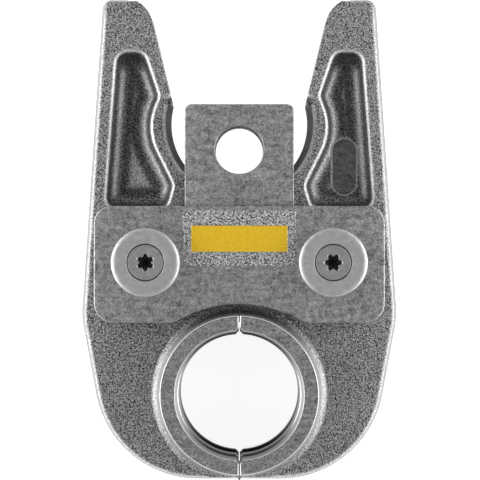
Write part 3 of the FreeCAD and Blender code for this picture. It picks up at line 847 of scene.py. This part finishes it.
def forged_finish():
    """Shot-blasted forging: bright and dark grain over shallow dimples, turned brighter and darker where the
    piece's wear_and_painted_light attribute says so, for rubbing and oxide as well as painted highlights and
    painted shade."""
    material, shader, place = new_material("forged_finish", 0.55, metallic=0.5)
    links = material.node_tree.links
    grain = add_noise(material, place, 0.4, detail=2.0, roughness=0.65)
    dimples = add_noise(material, place, 2.4, detail=2.0)
    swell = add_noise(material, place, 9.0)
    tone = spread(material, grain, 0.40, 0.60, 0.0, 1.0)
    blasted = mix_colour(material, tone, (0.015, 0.015, 0.016), (0.53, 0.53, 0.54))
    # The near-black colour stands for oxide and painted shade, the near-white one for rubbing and painted
    # highlights.
    scale_and_shade_colour = mix_colour(material, tone, (0.0, 0.0, 0.0), (0.13, 0.13, 0.133))
    rub_and_highlight_colour = mix_colour(material, tone, (0.5, 0.5, 0.51), (1.0, 1.0, 1.0))
    wear_and_light = wear_and_painted_light_attribute(material)
    scale_and_shade_share = spread(material, wear_and_light, -1.0, 0.0, 1.0, 0.0)
    rub_and_highlight_share = spread(material, wear_and_light, 0.0, 1.0, 0.0, 1.0)
    colour = mix_colour(material, scale_and_shade_share, blasted, scale_and_shade_colour)
    colour = mix_colour(material, rub_and_highlight_share, colour, rub_and_highlight_colour)
    links.new(colour, shader.inputs["Base Color"])
    links.new(spread(material, dimples, 0.3, 0.7, 0.33, 0.45), shader.inputs["Roughness"])
    normal = bump(material, swell, 0.35)
    normal = bump(material, dimples, 0.12, normal)
    relief = calculate(material, "MULTIPLY", grain, spread(material, rub_and_highlight_share, 0.4, 1.0, 1.0, 0.2))
    normal = bump(material, relief, 0.42, normal)
    links.new(normal, shader.inputs["Normal"])
    return material


def bore_painted_light_finish():
    """Turned bore: painted bright as a highlight where the piece's wear_and_painted_light attribute says so,
    painted dark as shade elsewhere.
    """
    material, shader, place = new_material("bore_painted_light_finish", 0.35)
    lines = add_noise(material, place, 0.6, detail=2.0, stretch=(1.0, 1.0, 4.0))
    streaks = spread(material, lines, 0.3, 0.7, 0.8, 1.1)
    polish = calculate(material, "MULTIPLY", wear_and_painted_light_attribute(material), streaks)
    colour = mix_colour(material, polish, (0.02, 0.02, 0.02), (0.6, 0.6, 0.6))
    material.node_tree.links.new(colour, shader.inputs["Base Color"])
    return material


def tumbled_finish(name, light, dark, roughness, depth_mm, flecks=0.5, mottle_mm=1.5, fine_mm=0.5):
    """Tumbled steel: fine mottling, short rubbing marks and small bright flecks."""
    material, shader, place = new_material(name, roughness)
    links = material.node_tree.links
    mottle = add_noise(material, place, mottle_mm, detail=5.0, roughness=0.7)
    fine = add_noise(material, place, fine_mm, detail=2.0)
    rubs = add_noise(material, place, 1.2, detail=3.0, stretch=(0.25, 1.0, 1.0))
    total = spread(material, mottle, 0.35, 0.65, 0.0, 0.4)
    total = calculate(material, "ADD", total, spread(material, fine, 0.35, 0.65, 0.0, 0.4))
    total = calculate(material, "ADD", total, spread(material, rubs, 0.35, 0.65, 0.0, 0.2))
    colour = mix_colour(material, total, dark, light)
    chips = add_noise(material, place, 0.9, detail=3.0, roughness=0.8)
    chips = spread(material, chips, 0.62, 0.72, 0.0, flecks)
    colour = mix_colour(material, chips, colour, (1.0, 1.0, 1.0))
    links.new(colour, shader.inputs["Base Color"])
    gloss = spread(material, mottle, 0.3, 0.7, roughness - 0.05, roughness + 0.08)
    links.new(gloss, shader.inputs["Roughness"])
    normal = bump(material, mottle, depth_mm)
    normal = bump(material, fine, depth_mm, normal)
    links.new(normal, shader.inputs["Normal"])
    return material


def box_mask(material, place, x_half, y_low, y_high, edge_mm):
    """One inside a rectangle on the front plate, nought outside, with a soft edge."""
    nodes, links = material.node_tree.nodes, material.node_tree.links
    parts = nodes.new("ShaderNodeSeparateXYZ")
    links.new(place, parts.inputs["Vector"])
    across = calculate(material, "ABSOLUTE", parts.outputs["X"], 0.0)
    inside_x = spread(material, across, (x_half - edge_mm) * MM, x_half * MM, 1.0, 0.0)
    middle = calculate(material, "SUBTRACT", parts.outputs["Y"], (y_low + y_high) / 2 * MM)
    up = calculate(material, "ABSOLUTE", middle, 0.0)
    y_half = (y_high - y_low) / 2
    inside_y = spread(material, up, (y_half - edge_mm) * MM, y_half * MM, 1.0, 0.0)
    front = spread(material, parts.outputs["Z"], (BAR_OUTER - 0.15) * MM, (BAR_OUTER - 0.05) * MM, 0.0, 1.0)
    inside = calculate(material, "MULTIPLY", inside_x, inside_y)
    return calculate(material, "MULTIPLY", inside, front)


def front_plate_finish():
    """The tumbled plate with a sparkling blasted field and a plain yellow bar printed on it."""
    material = tumbled_finish("front_plate_finish", PLATE_LIGHT, PLATE_DARK, 0.5, 0.14)
    nodes, links = material.node_tree.nodes, material.node_tree.links
    shader = nodes["Principled BSDF"]
    place = nodes["Texture Coordinate"].outputs["Object"]
    plate_colour = shader.inputs["Base Color"].links[0].from_socket
    plate_normal = shader.inputs["Normal"].links[0].from_socket
    sparkle = add_noise(material, place, 0.48, detail=2.0, roughness=0.7)
    tone = spread(material, sparkle, 0.38, 0.62, 0.0, 1.0)
    pale = mix_colour(material, tone, (0.06, 0.06, 0.06), (0.86, 0.86, 0.86))
    field = box_mask(material, place, *BLASTED_FIELD, 0.1)
    bar = box_mask(material, place, *YELLOW_BAR, 0.12)
    colour = mix_colour(material, field, plate_colour, pale)
    yellow = mix_colour(material, tone, (1.0, 0.55, 0.01), (1.0, 0.72, 0.02))
    links.new(mix_colour(material, bar, colour, yellow), shader.inputs["Base Color"])
    links.new(calculate(material, "SUBTRACT", 1.0, bar), shader.inputs["Metallic"])
    blasted = calculate(material, "SUBTRACT", field, bar)
    grain = calculate(material, "MULTIPLY", sparkle, blasted)
    links.new(bump(material, grain, 0.3, plate_normal), shader.inputs["Normal"])
    return material


def dress(node, material):
    """Gives a node of the frame this material on all its faces."""
    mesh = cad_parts[node].data
    mesh.materials.clear()
    mesh.materials.append(material)


# Studio


def squared_range(world, value, low, high, at_low, at_high):
    """Squares one part of the view direction and maps it smoothly from low to high onto two strengths."""
    mapped = spread(world, calculate(world, "MULTIPLY", value, value), low, high, at_low, at_high)
    mapped.node.interpolation_type = "SMOOTHSTEP"
    return mapped


def studio():
    """A soft box on each side, and a sky that is white at its rim, pale to both sides and dim overhead."""
    world = bpy.data.worlds.new("studio")
    bpy.context.scene.world = world
    world.use_nodes = True
    nodes, links = world.node_tree.nodes, world.node_tree.links
    background = nodes["Background"]
    background.inputs["Color"].default_value = (1, 1, 1, 1)
    way = nodes.new("ShaderNodeTexCoord")
    parts = nodes.new("ShaderNodeSeparateXYZ")
    links.new(way.outputs["Generated"], parts.inputs["Vector"])
    low = squared_range(world, parts.outputs["Z"], 0.05, 0.7, 1.0, 0.0)
    sideways = squared_range(world, parts.outputs["X"], 0.0, 1.0, 0.05, 1.2)
    glow = calculate(world, "ADD", calculate(world, "MULTIPLY", low, sideways), OVERHEAD_SKY)
    rim = squared_range(world, parts.outputs["Z"], 0.006, 0.03, 1.0, 0.0)
    links.new(calculate(world, "MAXIMUM", rim, glow), background.inputs["Strength"])
    for side in (-1, 1):
        light = bpy.data.lights.new("side_box", "AREA")
        light.shape = "RECTANGLE"
        light.size = 0.24
        light.size_y = 0.5
        light.energy = LAMP_POWER[side]
        lamp = bpy.data.objects.new("side_box", light)
        lamp.location = (side * 0.5, PIVOT_Y * MM, 0.13)
        lamp.rotation_euler = (0, side * math.radians(76), 0)
        bpy.context.scene.collection.objects.link(lamp)


def ground():
    """A pale sheet under the jaw. Its glow, which only the camera and reflections see, and the light that
    falls on it add up to nearly white, and the jaw's shadow stays on it."""
    low = cad_box[0][2] - 0.0002
    half = 3.0
    corners = [(-half, -half, low), (half, -half, low), (half, half, low), (-half, half, low)]
    mesh = bpy.data.meshes.new("ground")
    mesh.from_pydata(corners, [], [(0, 1, 2, 3)])
    sheet = bpy.data.objects.new("ground", mesh)
    bpy.context.scene.collection.objects.link(sheet)
    material = bpy.data.materials.new("ground_white")
    material.use_nodes = True
    nodes, links = material.node_tree.nodes, material.node_tree.links
    shader = nodes["Principled BSDF"]
    shader.inputs["Base Color"].default_value = (0.6, 0.6, 0.6, 1)
    shader.inputs["Roughness"].default_value = 0.9
    rays = nodes.new("ShaderNodeLightPath")
    seen = rays.outputs["Is Camera Ray"]
    for kind in ("Is Glossy Ray", "Is Transmission Ray"):
        seen = calculate(material, "MAXIMUM", seen, rays.outputs[kind])
    links.new(calculate(material, "MULTIPLY", seen, GROUND_GLOW), shader.inputs["Emission Strength"])
    shader.inputs["Emission Color"].default_value = (1, 1, 1, 1)
    mesh.materials.append(material)


def camera():
    """Straight above the jaw, 850 mm over the front plate, as the photograph's outline needs."""
    data = bpy.data.cameras.new("camera")
    data.sensor_width = 36.0
    data.lens = LENS_MM
    eye = bpy.data.objects.new("camera", data)
    eye.location = EYE
    bpy.context.scene.collection.objects.link(eye)
    bpy.context.scene.camera = eye


# The jaw in its studio

studio()
ground()
camera()

forged = forged_finish()
ring_light = (0.58, 0.58, 0.59)
ring_dark = (0.04, 0.04, 0.041)
ring_face = tumbled_finish("machined_finish", ring_light, ring_dark, 0.42, 0.2, mottle_mm=0.8, fine_mm=0.35)
# A near-white material for the ring's chamfers: a painted edge highlight.
ring_edge_painted_highlight, _, _ = new_material("painted_edge_highlight", 0.4, (0.95, 0.95, 0.95), metallic=0.3)
stamped = tumbled_finish("stamped_field_finish", (0.36, 0.36, 0.37), (0.06, 0.06, 0.062), 0.45, 0.12, 0.2)
jaw_finishes = (forged, ring_face, ring_edge_painted_highlight, stamped, bore_painted_light_finish())
for side, hand in ((-1, "left"), (1, "right")):
    jaw(f"forged_jaw_{hand}", f"jaw_{hand}", side, jaw_finishes)

rear_steel = tumbled_finish("plate_finish", PLATE_LIGHT, PLATE_DARK, 0.5, 0.16, 0.7)
side_plate("front_side_plate", "front_plate", 1, front_plate_finish())
side_plate("rear_side_plate", "rear_plate", -1, rear_steel)

disc_steel = tumbled_finish("disc_finish", (0.76, 0.76, 0.76), (0.58, 0.58, 0.58), 0.5, 0.05, 0.2)
screw_steel = tumbled_finish("screw_finish", (0.62, 0.62, 0.62), (0.42, 0.42, 0.42), 0.48, 0.05, 0.2)
# A dark material for the screws' sockets: painted shade.
socket_painted_shade, _, _ = new_material("socket_painted_shade_finish", 0.5, (0.09, 0.09, 0.09))
for turn, face in ((1, "front"), (-1, "rear")):
    for side, hand, twist in ((-1, "left", 30), (1, "right", 0)):
        disc(f"{face}_{hand}_retaining_disc", f"{face}_disc_{hand}", side, turn, disc_steel)
        name = f"{face}_{hand}_countersunk_screw"
        screw(name, f"{face}_screw_{hand}", side, turn, twist, screw_steel, socket_painted_shade)
for node in ("pivot_pin_left", "pivot_pin_right", "spring_post", "return_spring"):
    dress(node, screw_steel)

bpy.context.scene.view_settings.view_transform = "Standard"
